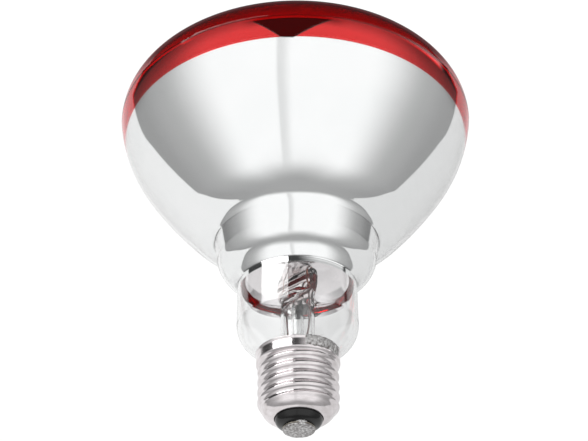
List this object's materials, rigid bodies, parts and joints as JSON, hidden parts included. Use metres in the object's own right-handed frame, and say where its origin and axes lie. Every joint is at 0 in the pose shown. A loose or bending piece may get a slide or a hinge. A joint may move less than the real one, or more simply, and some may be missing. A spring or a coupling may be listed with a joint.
{
  "type": "infrared reflector heat lamp",
  "caption": "Infrared reflector lamp with a red front, mirrored bowl and clear neck on an E27 screw cap, for warming poultry and small livestock.",
  "frame": {"origin": "centre of the flat end face of the centre contact's solder, on the lamp's axis", "axes": "+Z along the lamp's axis from the screw cap to the red front; -Y towards the side where the thread's crest stands lowest; the side solder lies between -Y and +X"},
  "size_m": [0.125, 0.125, 0.1519],
  "materials": {
    "clear_glass": "polished clear hard glass",
    "stem_glass": "drawn and pinched glass with slight waves",
    "aluminium_mirror": "vacuum-coated aluminium film, mirror bright",
    "ruby_coating": "translucent deep red fired coating, glossy through the glass",
    "nickel_plate": "bright nickel plate on rolled brass sheet",
    "capping_cement": "matt baked cement",
    "black_vitrite": "glossy black pressed glass",
    "contact_brass": "satin stamped brass",
    "tin_solder": "dull grey rough solder",
    "aluminium_sheet": "polished aluminium sheet, nearly mirror bright",
    "nickel_wire": "drawn wire, satin",
    "tungsten_coil": "dark grey coiled wire",
    "molybdenum_wire": "drawn wire, satin",
    "dumet_wire": "copper-sheathed seal wire, dull red",
    "copper_wire": "drawn wire, satin"
  },
  "bodies": {
    "root": {"arbor_rod": "stem_glass", "cap_insulator": "black_vitrite", "cap_shell": "nickel_plate", "capping_cement": "capping_cement", "centre_contact": "contact_brass", "centre_solder": "tin_solder", "exhaust_tube": "stem_glass", "filament": "tungsten_coil", "glass_bulb": "clear_glass", "heat_shield": "aluminium_sheet", "inner_lead_centre": "nickel_wire", "inner_lead_side": "nickel_wire", "mirror_coating": "aluminium_mirror", "outer_lead_centre": "copper_wire", "outer_lead_side": "copper_wire", "red_front_coating": "ruby_coating", "seal_wire_centre": "dumet_wire", "seal_wire_side": "dumet_wire", "side_solder": "tin_solder", "stem_flare": "stem_glass", "support_wire_1": "molybdenum_wire", "support_wire_2": "molybdenum_wire", "support_wire_3": "molybdenum_wire", "support_wire_4": "molybdenum_wire", "support_wire_5": "molybdenum_wire"}
  },
  "joints": []
}
